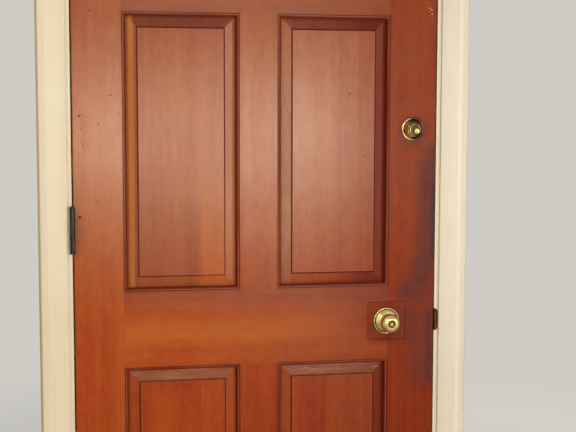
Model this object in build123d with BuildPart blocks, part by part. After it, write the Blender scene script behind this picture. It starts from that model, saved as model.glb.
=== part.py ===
"""Panelled front door, hung in its frame, seen closed from the room it opens into.

A 914 x 2032 mm stile-and-rail leaf of six raised panels, on three butt hinges, in a rabbeted frame with
casing on both sides, a sill, a knob set on a spring latch and a keyed deadbolt above it.

X runs from the hinge side to the lock side, Y from the room to the outside, Z up from the floor.
The origin is the middle of the sill's underside.
"""

from build123d import *

import os

os.makedirs("parts", exist_ok=True)

# Door leaf, in millimetres
door_width = 914.4
door_height = 2032.0
door_thickness = 44.45
stile_width = 121.2
muntin_width = 96.0
top_rail_height = 122.2
frieze_rail_height = 96.0
lock_rail_height = 190.5
bottom_rail_height = 241.3
top_opening_height = 216.0
bottom_opening_height = 480.0

# Moulded edge round each opening, and the groove that holds the panel
moulding_width = 9.0
quirk_width = 1.2
quirk_depth = 1.4
groove_width = 12.7
groove_depth = 12.0

# Raised panels
panel_thickness = 35.0
bevel_width = 29.0
field_step = 2.0
tongue_clearance = 0.1
bevel_clearance = 0.4
panel_edge_gap = 2.0

# Mortise and tenon joints
rail_tenon_length = 60.0
muntin_tenon_length = 28.0
muntin_tenon_inset = 16.0
tenon_shoulder = 22.0
outer_tenon_shoulder = 40.0
joint_clearance = 0.1
tenon_end_gap = 1.5

# Frame
jamb_depth = 115.9
jamb_thickness = 19.05
stop_height = 12.7
door_gap = 3.0
sill_gap = 6.0
stop_gap = 5.5
sill_crown = 20.0
sill_edge = 12.0
sill_nose_overhang = 34.0
sill_crown_margin = 8.0
kerf_width = 3.0
kerf_depth = 9.0
seal_clearance = 0.3
strip_width = 10.0
strip_inset = 1.0
strip_round = 2.0
fin_width = 2.6
fin_length = 8.0

# Casing round the room side, and the heavier moulding outside
casing_width = 71.0
casing_thickness = 17.5
casing_inner_thickness = 8.0
casing_crown = 48.0
casing_fall = 1.7
casing_nose = 7.0
casing_inner_round = 2.5
casing_swell = 1.9
casing_reveal = 9.9
outer_casing_width = 50.8
outer_casing_thickness = 31.75
outer_casing_step = 14.0
outer_casing_reveal = 12.7

# Butt hinges
hinge_height = 114.3
leaf_thickness = 3.4
leaf_width = 38.1
pin_offset = 12.7
barrel_radius = 6.35
pin_radius = 3.55
pin_clearance = 0.05
knuckle_count = 5
knuckle_gap = 0.4
knuckle_relief = 0.5
pin_head_radius = 5.8
pin_head_height = 2.4
top_hinge_drop = 177.8
bottom_hinge_rise = 279.4

# Countersunk slotted wood screws
screw_head_radius = 4.6
screw_shank_radius = 2.2
screw_cone = 2.7
door_screw_length = 28.0
jamb_screw_length = 16.0
pilot_clearance = 0.05
slot_width = 1.1
slot_depth = 1.0

# Knob set
knob_backset = 124.9
knob_above_rail_middle = 4.2
lock_bore = 54.0
edge_bore = 25.4
rose_radius = 33.5
rose_rim_height = 3.6
rose_height = 10.5
shank_radius = 14.2
running_gap = 0.3
neck_radius = 12.2
knob_radius = 24.4
knob_projection = 56.0
knob_recess_radius = 9.6
knob_recess_depth = 4.0
button_radius = 5.4
button_stem_radius = 3.0
button_stem_length = 12.0
button_height = 2.2
button_projection = 4.6
button_wing = 2.6
button_wing_share = 0.9
spindle_side = 8.0
spindle_reach = 20.0
spindle_clearance = 0.15
plug_radius = 6.3
plug_clearance = 0.1
keyway_width = 2.2
keyway_height = 8.0
keyway_depth = 9.0

# Latch, deadbolt and their plates
plate_height = 57.0
plate_width = 25.4
plate_thickness = 2.5
plate_screw_spacing = 41.3
tube_radius = 12.4
bolt_clearance = 0.3
latch_height = 15.0
latch_width = 13.0
latch_throw = 12.7
latch_length = 46.0
deadbolt_height = 19.0
deadbolt_width = 14.0
deadbolt_corner = 4.0
deadbolt_throw = 25.4
deadbolt_stay = 16.6
chamber_end_gap = 2.0
hub_length = 32.0
hub_height = 28.0
hub_thickness = 16.0
strike_thickness = 1.8
strike_width = 30.0
strike_hole_margin = 1.6
lip_clearance = 0.4
pocket_margin = 3.0
strike_length = 150.0

# Deadbolt cylinders
deadbolt_backset = 60.3
deadbolt_above_knob = 492.8
collar_radius = 30.3
collar_rim_radius = 23.5
collar_rim_height = 4.5
collar_height = 20.0
collar_nose_radius = 17.5
cylinder_radius = 14.6
cylinder_projection = 24.0
plug_offset_x = 4.6
plug_offset_z = -5.0
tail_width = 8.0
tail_thickness = 2.0
through_screw_radius = 2.0
through_screw_spacing = 39.0
through_screw_grip = 3.0

# Old lock's cut-out, filled with a square block of wood let in flush round the knob
patch_side = 99.0
patch_depth = 9.0
patch_gap = 0.3
patch_edge_break = 0.7

# Seal under the leaf
sweep_width = 36.0
sweep_base = 1.6
sweep_fin = 1.8
sweep_fins = 4
sweep_end_gap = 3.0

# Places worked out from the sizes above
half_width = door_width / 2
inside_y = -jamb_depth / 2
outside_y = inside_y + door_thickness
middle_y = inside_y + door_thickness / 2
stop_y = outside_y + stop_gap
frame_outside_y = jamb_depth / 2
rabbet_x = half_width + door_gap
stop_x = rabbet_x - stop_height
jamb_back_x = rabbet_x + jamb_thickness
door_bottom = sill_crown + sill_gap
door_top = door_bottom + door_height
head_face = door_top + door_gap
head_back = head_face + jamb_thickness
stile_edge = half_width - stile_width
half_muntin = muntin_width / 2
opening_width = stile_edge - half_muntin
opening_middle = half_muntin + opening_width / 2

bottom_opening = door_bottom + bottom_rail_height
lock_rail_bottom = bottom_opening + bottom_opening_height
middle_opening = lock_rail_bottom + lock_rail_height
top_rail_bottom = door_top - top_rail_height
top_opening = top_rail_bottom - top_opening_height
frieze_bottom = top_opening - frieze_rail_height
opening_rows = {
    "bottom": (bottom_opening, lock_rail_bottom),
    "middle": (middle_opening, frieze_bottom),
    "top": (top_opening, top_rail_bottom),
}

knob_x = half_width - knob_backset
knob_z = lock_rail_bottom + lock_rail_height / 2 + knob_above_rail_middle
deadbolt_x = half_width - deadbolt_backset
deadbolt_z = knob_z + deadbolt_above_knob
pin_x = -half_width - door_gap / 2
pin_y = inside_y - pin_offset
hinge_top = door_top - top_hinge_drop - hinge_height / 2
hinge_bottom = door_bottom + bottom_hinge_rise + hinge_height / 2
hinge_places = {
    "top": hinge_top,
    "middle": (hinge_top + hinge_bottom) / 2,
    "bottom": hinge_bottom,
}


def block(low, high):
    """A box between two corners."""
    size = [b - a for a, b in zip(low, high)]
    middle = [(a + b) / 2 for a, b in zip(low, high)]
    return Pos(*middle) * Box(*size, mode=Mode.PRIVATE)


def save(part, name):
    """Labels a finished piece and writes it under its own name."""
    part.label = name
    export_step(part, f"parts/{name}.step")


# Sections of the opening and of the raised panel


def opening_section(plane, half):
    """One way across an opening: quirk, quarter-round, sight edge and panel groove, on both faces."""
    half_thickness = door_thickness / 2
    round_radius = moulding_width - quirk_width
    quirk = half_thickness - quirk_depth
    sight = half - moulding_width
    round_low = quirk - round_radius
    with BuildSketch(plane) as section:
        with BuildLine() as quarter:
            Line((0, half_thickness + 1), (half, half_thickness + 1))
            Line((half, half_thickness + 1), (half, quirk))
            Line((half, quirk), (half - quirk_width, quirk))
            RadiusArc((half - quirk_width, quirk), (sight, round_low), -round_radius)
            Line((sight, round_low), (sight, groove_width / 2))
            Line((sight, groove_width / 2), (sight + groove_depth, groove_width / 2))
            Line((sight + groove_depth, groove_width / 2), (sight + groove_depth, 0))
            Line((sight + groove_depth, 0), (0, 0))
            Line((0, 0), (0, half_thickness + 1))
        make_face()
        mirror(about=Plane.XZ)
        mirror(about=Plane.YZ)
    return section.sketch


def opening_cutter(middle_x, low, high):
    """What the moulded opening takes out of the members round it, mitred at its corners."""
    middle = (middle_x, middle_y, (low + high) / 2)
    height = high - low
    across = Plane(middle, x_dir=(1, 0, 0), z_dir=(0, 0, 1))
    along = Plane(middle, x_dir=(0, 0, 1), z_dir=(-1, 0, 0))
    with BuildPart() as cutter:
        extrude(opening_section(across, opening_width / 2), amount=height, both=True)
        extrude(opening_section(along, height / 2), amount=opening_width, both=True, mode=Mode.INTERSECT)
    return cutter.part


def panel_section(plane, half):
    """One way across a raised panel: field, step, bevel and tongue, on both faces."""
    sight = half - moulding_width
    field = sight - bevel_width
    edge = sight + groove_depth - panel_edge_gap
    tongue = groove_width / 2 - tongue_clearance
    face = panel_thickness / 2
    with BuildSketch(plane) as section:
        with BuildLine():
            Polyline(
                (0, 0),
                (0, face),
                (field, face),
                (field, face - field_step),
                (sight - bevel_clearance, tongue),
                (edge, tongue),
                (edge, 0),
                close=True,
            )
        make_face()
        mirror(about=Plane.XZ)
        mirror(about=Plane.YZ)
    return section.sketch


def raised_panel(middle_x, low, high):
    middle = (middle_x, middle_y, (low + high) / 2)
    height = high - low
    across = Plane(middle, x_dir=(1, 0, 0), z_dir=(0, 0, 1))
    along = Plane(middle, x_dir=(0, 0, 1), z_dir=(-1, 0, 0))
    with BuildPart() as panel:
        extrude(panel_section(across, opening_width / 2), amount=height, both=True)
        extrude(panel_section(along, height / 2), amount=opening_width, both=True, mode=Mode.INTERSECT)
    return panel.part


cutters = {
    (row, side): opening_cutter(side * opening_middle, low, high)
    for row, (low, high) in opening_rows.items()
    for side in (-1, 1)
}


# Screws


def wood_screw(length):
    """A slotted countersunk screw: head flush at Z = 0, shank down."""
    with BuildPart() as screw:
        with BuildSketch(Plane.XZ):
            with BuildLine():
                Polyline(
                    (0, 0),
                    (screw_head_radius, 0),
                    (screw_shank_radius, -screw_cone),
                    (screw_shank_radius, -length + 2 * screw_shank_radius),
                    (0, -length),
                    close=True,
                )
            make_face()
        revolve(axis=Axis.Z)
        with BuildSketch(Plane.XY):
            Rectangle(2 * screw_head_radius, slot_width)
        extrude(amount=-slot_depth, mode=Mode.SUBTRACT)
    return screw.part


def screw_hole(length):
    """Room for a screw, with its clearance, open at the top."""
    radius = screw_shank_radius + pilot_clearance
    with BuildPart() as hole:
        with BuildSketch(Plane.XZ):
            with BuildLine():
                Polyline(
                    (0, 1),
                    (screw_head_radius + pilot_clearance, 1),
                    (screw_head_radius + pilot_clearance, 0),
                    (radius, -screw_cone),
                    (radius, -length - pilot_clearance),
                    (0, -length - pilot_clearance),
                    close=True,
                )
            make_face()
        revolve(axis=Axis.Z)
    return hole.part


def screw_group(places, direction, length):
    """The screws at these places, and the holes for them. direction is where each head faces."""
    planes = [Plane(place, x_dir=(0, 0, 1), z_dir=direction) for place in places]
    screws = [plane * wood_screw(length) for plane in planes]
    holes = [plane * screw_hole(length) for plane in planes]
    return screws, holes


# Hinges

leaf_screw_spots = [(0.38, 7.5), (0.14, 20.0), (-0.14, 7.5), (-0.38, 20.0)]


def leaf_screw_places(face_x):
    """Where the screws of all three leaves on one face stand: a zigzag of four a leaf."""
    wood_edge = inside_y + leaf_width
    return [
        (face_x, wood_edge - back, z + share * hinge_height)
        for z in hinge_places.values()
        for share, back in leaf_screw_spots
    ]


def knuckle_span(index, z):
    """Lowest and highest level of one knuckle."""
    pitch = hinge_height / knuckle_count
    low = z - hinge_height / 2 + index * pitch
    return low + knuckle_gap / 2, low + pitch - knuckle_gap / 2


def hinge_leaf(z, face_x, toward, own, holes):
    """A leaf let into the wood behind face_x, with the knuckles that belong to it."""
    with BuildPart() as leaf:
        add(
            block(
                (min(face_x, face_x + toward * leaf_thickness), pin_y, z - hinge_height / 2),
                (max(face_x, face_x + toward * leaf_thickness), inside_y + leaf_width, z + hinge_height / 2),
            )
        )
        for index in range(knuckle_count):
            low, high = knuckle_span(index, z)
            if index % 2 != own:
                with BuildSketch(Plane((pin_x, pin_y, low - knuckle_gap))):
                    Circle(barrel_radius + knuckle_relief)
                extrude(amount=high - low + 2 * knuckle_gap, mode=Mode.SUBTRACT)
        for index in range(own, knuckle_count, 2):
            low, high = knuckle_span(index, z)
            with BuildSketch(Plane((pin_x, pin_y, low))):
                Circle(barrel_radius)
            extrude(amount=high - low)
        with BuildSketch(Plane((pin_x, pin_y, z - hinge_height))):
            Circle(pin_radius + pin_clearance)
        extrude(amount=2 * hinge_height, mode=Mode.SUBTRACT)
        for hole in holes:
            add(hole, mode=Mode.SUBTRACT)
    return leaf.part


def hinge_pin(z):
    """A loose pin with a flat button head, standing in the barrel."""
    top = z + hinge_height / 2
    with BuildPart() as pin:
        with BuildSketch(Plane((pin_x, pin_y, z - hinge_height / 2))):
            Circle(pin_radius)
        extrude(amount=hinge_height)
        with BuildSketch(Plane((pin_x, pin_y, top))):
            Circle(pin_head_radius)
        extrude(amount=pin_head_height)
        fillet(pin.edges().filter_by(GeomType.CIRCLE).sort_by(Axis.Z)[-1], pin_head_height / 3)
    return pin.part


door_screws, door_screw_holes = screw_group(leaf_screw_places(-half_width), (-1, 0, 0), door_screw_length)
jamb_screws, jamb_screw_holes = screw_group(leaf_screw_places(-rabbet_x), (1, 0, 0), jamb_screw_length)
leaf_gains = {}
for place, z in hinge_places.items():
    leaf_gains[place] = (
        block(
            (-half_width, inside_y, z - hinge_height / 2),
            (-half_width + leaf_thickness, inside_y + leaf_width, z + hinge_height / 2),
        ),
        block(
            (-rabbet_x - leaf_thickness, inside_y, z - hinge_height / 2),
            (-rabbet_x, inside_y + leaf_width, z + hinge_height / 2),
        ),
    )
    save(hinge_leaf(z, -half_width, 1, 1, door_screw_holes), f"{place}_hinge_door_leaf")
    save(hinge_leaf(z, -rabbet_x, -1, 0, jamb_screw_holes), f"{place}_hinge_jamb_leaf")
save(Compound(children=[hinge_pin(z) for z in hinge_places.values()]), "hinge_pins")
save(Compound(children=door_screws), "hinge_door_screws")
save(Compound(children=jamb_screws), "hinge_jamb_screws")


# Bores for the knob set and the deadbolt


def along_y(x, z, radius, low, high):
    """A round bar from one side of the leaf towards the other."""
    return Pos(x, (low + high) / 2, z) * Rot(X=90) * Cylinder(radius, high - low, mode=Mode.PRIVATE)


def along_x(y, z, radius, low, high):
    """A round bar from the lock bore towards the edge."""
    return Pos((low + high) / 2, y, z) * Rot(Y=90) * Cylinder(radius, high - low, mode=Mode.PRIVATE)


def edge_plate(z):
    """A plate let into the lock edge, centred on a bore."""
    return block(
        (half_width - plate_thickness, middle_y - plate_width / 2, z - plate_height / 2),
        (half_width, middle_y + plate_width / 2, z + plate_height / 2),
    )


plate_screw_places = [
    (half_width, middle_y, z + side * plate_screw_spacing / 2)
    for z in (knob_z, deadbolt_z)
    for side in (-1, 1)
]
edge_screws, edge_screw_holes = screw_group(plate_screw_places, (1, 0, 0), door_screw_length)
lock_bores = [
    shape
    for x, z in ((knob_x, knob_z), (deadbolt_x, deadbolt_z))
    for shape in (
        along_y(x, z, lock_bore / 2, inside_y - 1, outside_y + 1),
        along_x(middle_y, z, edge_bore / 2, x, half_width + 1),
        edge_plate(z),
    )
]
patch_pocket = block(
    (knob_x - patch_side / 2, inside_y - 1, knob_z - patch_side / 2),
    (knob_x + patch_side / 2, inside_y + patch_depth, knob_z + patch_side / 2),
)


# Leaf members


def moulding_strip(x_low, x_high, z_low, z_high):
    return block((x_low, inside_y, z_low), (x_high, outside_y, z_high))


def rail_tenon_zone(low, high, grow):
    """Height of a rail's tenon, held back from the rail's edges and further from the leaf's ends."""
    under = outer_tenon_shoulder if low == door_bottom else tenon_shoulder
    over = outer_tenon_shoulder if high == door_top else tenon_shoulder
    return low + under - grow, high - over + grow


def tenon(side, low, high, grow=0.0):
    z_low, z_high = rail_tenon_zone(low, high, grow)
    reach = rail_tenon_length + (tenon_end_gap if grow else 0)
    ends = sorted((side * stile_edge, side * (stile_edge + reach)))
    half = groove_width / 2 - joint_clearance + grow
    return block((ends[0], middle_y - half, z_low), (ends[1], middle_y + half, z_high))


def muntin_tenon(z, direction, grow=0.0):
    reach = muntin_tenon_length + (tenon_end_gap if grow else 0)
    ends = sorted((z, z + direction * reach))
    half_x = half_muntin - muntin_tenon_inset + grow
    half_y = groove_width / 2 - joint_clearance + grow
    return block((-half_x, middle_y - half_y, ends[0]), (half_x, middle_y + half_y, ends[1]))


rails = {
    "bottom_rail": (door_bottom, bottom_opening, None, "bottom"),
    "lock_rail": (lock_rail_bottom, middle_opening, "bottom", "middle"),
    "frieze_rail": (frieze_bottom, top_opening, "middle", "top"),
    "top_rail": (top_rail_bottom, door_top, "top", None),
}


def stile(side, cuts):
    """A full-height upright with its moulded edge, grooves, mortises and the cuts for its ironwork."""
    ends = sorted((side * half_width, side * stile_edge))
    with BuildPart() as upright:
        add(block((ends[0], inside_y, door_bottom), (ends[1], outside_y, door_top)))
        for row, (low, high) in opening_rows.items():
            strip = sorted((side * stile_edge, side * (stile_edge - moulding_width)))
            add(moulding_strip(*strip, low + moulding_width, high - moulding_width))
        for low, high, _, _ in rails.values():
            add(tenon(side, low, high, joint_clearance), mode=Mode.SUBTRACT)
        for (row, cut_side), cutter in cutters.items():
            if cut_side == side:
                add(cutter, mode=Mode.SUBTRACT)
        for cut in cuts:
            add(cut, mode=Mode.SUBTRACT)
    return upright.part


def rail(name, cuts):
    """A rail between the stiles, with a tenon at each end and mortises for the muntins."""
    low, high, row_under, row_over = rails[name]
    with BuildPart() as cross:
        add(block((-stile_edge, inside_y, low), (stile_edge, outside_y, high)))
        for side in (-1, 1):
            add(tenon(side, low, high))
            opening = sorted((side * half_muntin, side * stile_edge))
            if row_over:
                add(moulding_strip(*opening, high, high + moulding_width))
            if row_under:
                add(moulding_strip(*opening, low - moulding_width, low))
        for row, z, direction in ((row_over, high, -1), (row_under, low, 1)):
            if row:
                add(muntin_tenon(z, direction, joint_clearance), mode=Mode.SUBTRACT)
                for side in (-1, 1):
                    add(cutters[row, side], mode=Mode.SUBTRACT)
        for cut in cuts:
            add(cut, mode=Mode.SUBTRACT)
    return cross.part


def muntin(row):
    """The short upright between two panels of one row."""
    low, high = opening_rows[row]
    with BuildPart() as upright:
        add(block((-half_muntin, inside_y, low), (half_muntin, outside_y, high)))
        add(
            moulding_strip(
                -half_muntin - moulding_width,
                half_muntin + moulding_width,
                low + moulding_width,
                high - moulding_width,
            )
        )
        for side in (-1, 1):
            add(cutters[row, side], mode=Mode.SUBTRACT)
        add(muntin_tenon(low, -1))
        add(muntin_tenon(high, 1))
    return upright.part


save(stile(-1, [gain for gain, _ in leaf_gains.values()] + door_screw_holes), "hinge_stile")
save(stile(1, lock_bores + [patch_pocket] + edge_screw_holes), "lock_stile")
for name in rails:
    save(rail(name, lock_bores + [patch_pocket] if name == "lock_rail" else []), name)

for row in opening_rows:
    save(muntin(row), f"{row}_muntin")
    for side, word in ((-1, "left"), (1, "right")):
        low, high = opening_rows[row]
        save(raised_panel(side * opening_middle, low, high), f"{row}_{word}_panel")

with BuildPart() as lock_patch:
    half_patch = patch_side / 2 - patch_gap
    add(
        block(
            (knob_x - half_patch, inside_y, knob_z - half_patch),
            (knob_x + half_patch, inside_y + patch_depth, knob_z + half_patch),
        )
    )
    chamfer(lock_patch.faces().sort_by(Axis.Y)[0].edges(), patch_edge_break)
    add(lock_bores[0], mode=Mode.SUBTRACT)
save(lock_patch.part, "lock_patch")


# Frame


def casing_profile(plane):
    """Room-side casing: thin rounded inner edge, a rise to the crown, then down to a rounded back edge."""
    inner = casing_inner_thickness
    back = casing_width - casing_nose
    shoulder = casing_thickness - casing_fall
    with BuildSketch(plane) as profile:
        with BuildLine():
            Line((0, 0), (0, inner - casing_inner_round))
            RadiusArc((0, inner - casing_inner_round), (casing_inner_round, inner), casing_inner_round)
            ThreePointArc(
                (casing_inner_round, inner),
                (casing_crown / 2, (inner + casing_thickness) / 2 + casing_swell),
                (casing_crown, casing_thickness),
            )
            ThreePointArc(
                (casing_crown, casing_thickness),
                ((casing_crown + back) / 2, casing_thickness - casing_fall / 4),
                (back, shoulder),
            )
            RadiusArc((back, shoulder), (casing_width, shoulder - casing_nose), casing_nose)
            Line((casing_width, shoulder - casing_nose), (casing_width, 0))
            Line((casing_width, 0), (0, 0))
        make_face()
    return profile.sketch


def outer_casing_profile(plane):
    """Outside moulding: a quarter-round and a step up to a flat face."""
    step = outer_casing_step
    low = outer_casing_thickness - step
    with BuildSketch(plane) as profile:
        with BuildLine():
            Line((0, 0), (0, low))
            Line((0, low), (step / 4, low))
            RadiusArc((step / 4, low), (step / 4 + step, outer_casing_thickness), -step)
            Line((step / 4 + step, outer_casing_thickness), (outer_casing_width, outer_casing_thickness))
            Line((outer_casing_width, outer_casing_thickness), (outer_casing_width, 0))
            Line((outer_casing_width, 0), (0, 0))
        make_face()
    return profile.sketch


def casing_set(profile, inner_x, inner_z, width, face_y, outward, prefix):
    """Two legs and a head, mitred where they meet."""
    overrun = 2 * width
    for side, word in ((-1, "hinge_side"), (1, "lock_side")):
        leg_plane = Plane((side * inner_x, face_y, 0), x_dir=(side, 0, 0), z_dir=(0, 0, side * outward))
        mitre = Plane((side * inner_x, face_y, inner_z), x_dir=(0, 1, 0), z_dir=(-side, 0, 1))
        with BuildPart() as leg:
            extrude(profile(leg_plane), amount=side * outward * (inner_z + overrun))
            split(bisect_by=mitre, keep=Keep.BOTTOM)
        save(leg.part, f"{prefix}_casing_{word}")
    head_plane = Plane((0, face_y, inner_z), x_dir=(0, 0, 1), z_dir=(-outward, 0, 0))
    with BuildPart() as head:
        extrude(profile(head_plane), amount=inner_x + overrun, both=True)
        for side in (-1, 1):
            mitre = Plane((side * inner_x, face_y, inner_z), x_dir=(0, 1, 0), z_dir=(-side, 0, 1))
            split(bisect_by=mitre, keep=Keep.TOP)
    save(head.part, f"{prefix}_casing_head")


casing_set(
    casing_profile,
    rabbet_x + casing_reveal,
    head_face + casing_reveal,
    casing_width,
    inside_y,
    -1,
    "inside",
)
casing_set(
    outer_casing_profile,
    stop_x + outer_casing_reveal,
    head_face - stop_height + outer_casing_reveal,
    outer_casing_width,
    frame_outside_y,
    1,
    "outside",
)


def jamb_profile(plane):
    """Rabbeted frame section. Local X runs into the frame from the rabbet face, local Y from the room out."""
    kerf_low = stop_height / 2 - kerf_width / 2
    with BuildSketch(plane) as profile:
        with BuildLine():
            Polyline(
                (0, inside_y),
                (0, stop_y),
                (-stop_height, stop_y),
                (-stop_height, frame_outside_y),
                (jamb_thickness, frame_outside_y),
                (jamb_thickness, inside_y),
                close=True,
            )
        make_face()
        with Locations((-kerf_low - kerf_width / 2, stop_y + kerf_depth / 2)):
            Rectangle(kerf_width, kerf_depth, mode=Mode.SUBTRACT)
    return profile.sketch


def side_jamb(side, low, high, cuts):
    """A length of side jamb between two levels, less the cuts for its ironwork."""
    plane = Plane((side * rabbet_x, 0, low), x_dir=(side, 0, 0), z_dir=(0, 0, side))
    with BuildPart() as upright:
        extrude(jamb_profile(plane), amount=side * (high - low))
        for cut in cuts:
            add(cut, mode=Mode.SUBTRACT)
    return upright.part


strike_places = {"latch": knob_z, "deadbolt": deadbolt_z}
lip_reach = casing_reveal - lip_clearance
strike_screw_places = [
    (rabbet_x, middle_y, z + side * plate_screw_spacing / 2)
    for z in strike_places.values()
    for side in (-1, 1)
]
strike_screws, strike_screw_holes = screw_group(strike_screw_places, (-1, 0, 0), jamb_screw_length)
strike_openings = {
    "latch": (latch_width / 2 + strike_hole_margin, latch_height / 2 + strike_hole_margin),
    "deadbolt": (deadbolt_width / 2 + strike_hole_margin, deadbolt_height / 2 + strike_hole_margin),
}


def strike_hole(name, grow):
    """The hole that a bolt enters, right through the plate and the jamb."""
    half_y, half_z = strike_openings[name]
    z = strike_places[name]
    return block(
        (rabbet_x - 1, middle_y - half_y - grow, z - half_z - grow),
        (jamb_back_x + 1, middle_y + half_y + grow, z + half_z + grow),
    )


def strike_plate(name):
    """The flat of a strike, let into the rabbet face. The latch's reaches the jamb's corner."""
    z = strike_places[name]
    near = inside_y if name == "latch" else middle_y - strike_width / 2
    return block(
        (rabbet_x, near, z - plate_height / 2),
        (rabbet_x + strike_thickness, middle_y + strike_width / 2, z + plate_height / 2),
    )


side_stops = [
    block(
        (min(side * stop_x, side * rabbet_x), stop_y, 0),
        (max(side * stop_x, side * rabbet_x), frame_outside_y, head_back),
    )
    for side in (-1, 1)
]
leaf_cuts = [gain for _, gain in leaf_gains.values()] + jamb_screw_holes
save(side_jamb(-1, 0, head_back, leaf_cuts), "hinge_jamb")

# The lock jamb is in three glued lengths, the short one behind the deadbolt's strike
strike_cuts = [strike_plate(name) for name in strike_places]
strike_cuts += [strike_hole(name, pocket_margin) for name in strike_places] + strike_screw_holes
strike_length_low = deadbolt_z - strike_length / 2
strike_length_high = deadbolt_z + strike_length / 2
lock_jamb_lengths = [
    side_jamb(1, 0, strike_length_low, strike_cuts),
    side_jamb(1, strike_length_high, head_back, []),
]
save(Compound(children=lock_jamb_lengths), "lock_jamb")
save(side_jamb(1, strike_length_low, strike_length_high, strike_cuts), "lock_jamb_strike_length")

with BuildPart() as head_jamb:
    head_plane = Plane((0, 0, head_face), x_dir=(0, 0, 1), z_dir=(-1, 0, 0))
    extrude(jamb_profile(head_plane), amount=rabbet_x, both=True)
    for side_stop in side_stops:
        add(side_stop, mode=Mode.SUBTRACT)
save(head_jamb.part, "head_jamb")

with BuildPart() as sill:
    nose_y = frame_outside_y + sill_nose_overhang
    with BuildSketch(Plane.YZ):
        with BuildLine():
            Polyline(
                (inside_y, 0),
                (inside_y, sill_edge),
                (inside_y + sill_crown_margin, sill_crown),
                (stop_y, sill_crown),
                (nose_y, sill_edge),
                (nose_y, 0),
                close=True,
            )
        make_face()
    extrude(amount=rabbet_x, both=True)
    for side_stop in side_stops:
        add(side_stop, mode=Mode.SUBTRACT)
    for side in (-1, 1):
        ends = sorted((side * (stop_x + outer_casing_reveal), side * 2 * rabbet_x))
        add(block((ends[0], frame_outside_y, -1), (ends[1], nose_y + 1, sill_crown + 1)), mode=Mode.SUBTRACT)
save(sill.part, "sill")


def strip_profile(plane):
    """Foam seal on the stop, with a fin pressed into the kerf. Local X runs away from the rabbet face."""
    low = outside_y + seal_clearance
    near, far = strip_inset, strip_inset + strip_width
    with BuildSketch(plane) as profile:
        with BuildLine():
            Line((near, stop_y), (near, low + strip_round))
            ThreePointArc((near, low + strip_round), ((near + far) / 2, low), (far, low + strip_round))
            Line((far, low + strip_round), (far, stop_y))
            Line((far, stop_y), (near, stop_y))
        make_face()
        with Locations((stop_height / 2, stop_y + fin_length / 2)):
            Rectangle(fin_width, fin_length)
    return profile.sketch


strip_top = head_face - strip_inset - strip_width
strips = []
for side in (-1, 1):
    with BuildPart() as strip:
        strip_plane = Plane((side * rabbet_x, 0, sill_crown), x_dir=(-side, 0, 0), z_dir=(0, 0, -side))
        extrude(strip_profile(strip_plane), amount=-side * (strip_top - sill_crown))
    strips.append(strip.part)
with BuildPart() as strip:
    strip_plane = Plane((0, 0, head_face), x_dir=(0, 0, -1), z_dir=(1, 0, 0))
    extrude(strip_profile(strip_plane), amount=stop_x, both=True)
strips.append(strip.part)
save(Compound(children=strips), "weatherstrip")


# Strikes

with BuildPart() as latch_strike:
    add(strike_plate("latch"))
    with BuildSketch(Plane((rabbet_x + lip_reach / 2, inside_y, knob_z), x_dir=(1, 0, 0), z_dir=(0, -1, 0))):
        Rectangle(lip_reach, plate_height)
    extrude(amount=strike_thickness)
    lip_corners = latch_strike.edges().filter_by(Axis.Y).group_by(Axis.X)[-1]
    fillet(lip_corners, lip_reach - lip_clearance)
    lip_bend = latch_strike.edges().filter_by(Axis.Z).sort_by(Axis.Y).group_by(Axis.Y)[0].sort_by(Axis.X)[0]
    fillet(lip_bend, strike_thickness * 0.8)
    add(strike_hole("latch", 0), mode=Mode.SUBTRACT)
    for hole in strike_screw_holes[:2]:
        add(hole, mode=Mode.SUBTRACT)
save(latch_strike.part, "latch_strike")

with BuildPart() as deadbolt_strike:
    add(strike_plate("deadbolt"))
    add(strike_hole("deadbolt", 0), mode=Mode.SUBTRACT)
    for hole in strike_screw_holes[2:]:
        add(hole, mode=Mode.SUBTRACT)
save(deadbolt_strike.part, "deadbolt_strike")
save(Compound(children=strike_screws), "strike_screws")
save(Compound(children=edge_screws), "lock_edge_screws")


# Latch and deadbolt cases with their bolts


def bolt_case(x, z, hole_y, hole_z, corner, chamber, hub_holes):
    """Faceplate, tube and hub as one case, hollow for the bolt."""
    plate_back = half_width - plate_thickness
    with BuildPart() as case:
        add(edge_plate(z))
        add(along_x(middle_y, z, tube_radius, x, plate_back))
        add(
            block(
                (x - hub_length / 2, middle_y - hub_thickness / 2, z - hub_height / 2),
                (x + hub_length / 2, middle_y + hub_thickness / 2, z + hub_height / 2),
            )
        )
        with BuildSketch(Plane((half_width, middle_y, z), x_dir=(0, 1, 0), z_dir=(1, 0, 0))):
            RectangleRounded(2 * (hole_y + bolt_clearance), 2 * (hole_z + bolt_clearance), corner)
        extrude(amount=-chamber, mode=Mode.SUBTRACT)
        for hole_x, hole_height, radius in hub_holes:
            add(along_y(hole_x, hole_height, radius, inside_y, outside_y), mode=Mode.SUBTRACT)
        for hole in edge_screw_holes:
            add(hole, mode=Mode.SUBTRACT)
    return case.part


spindle_bore = spindle_side / 2**0.5 + running_gap
save(
    bolt_case(
        knob_x,
        knob_z,
        latch_width / 2,
        latch_height / 2,
        1.0,
        latch_length + chamber_end_gap,
        [(knob_x, knob_z, spindle_bore)],
    ),
    "latch_case",
)
deadbolt_length = deadbolt_throw + deadbolt_stay
plug_x = deadbolt_x + plug_offset_x
plug_z = deadbolt_z + plug_offset_z
tail_bore = (tail_width**2 + tail_thickness**2) ** 0.5 / 2 + running_gap
save(
    bolt_case(
        deadbolt_x,
        deadbolt_z,
        deadbolt_width / 2,
        deadbolt_height / 2,
        deadbolt_corner,
        deadbolt_length + chamber_end_gap,
        [(plug_x, plug_z, tail_bore)],
    ),
    "deadbolt_case",
)

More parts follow.
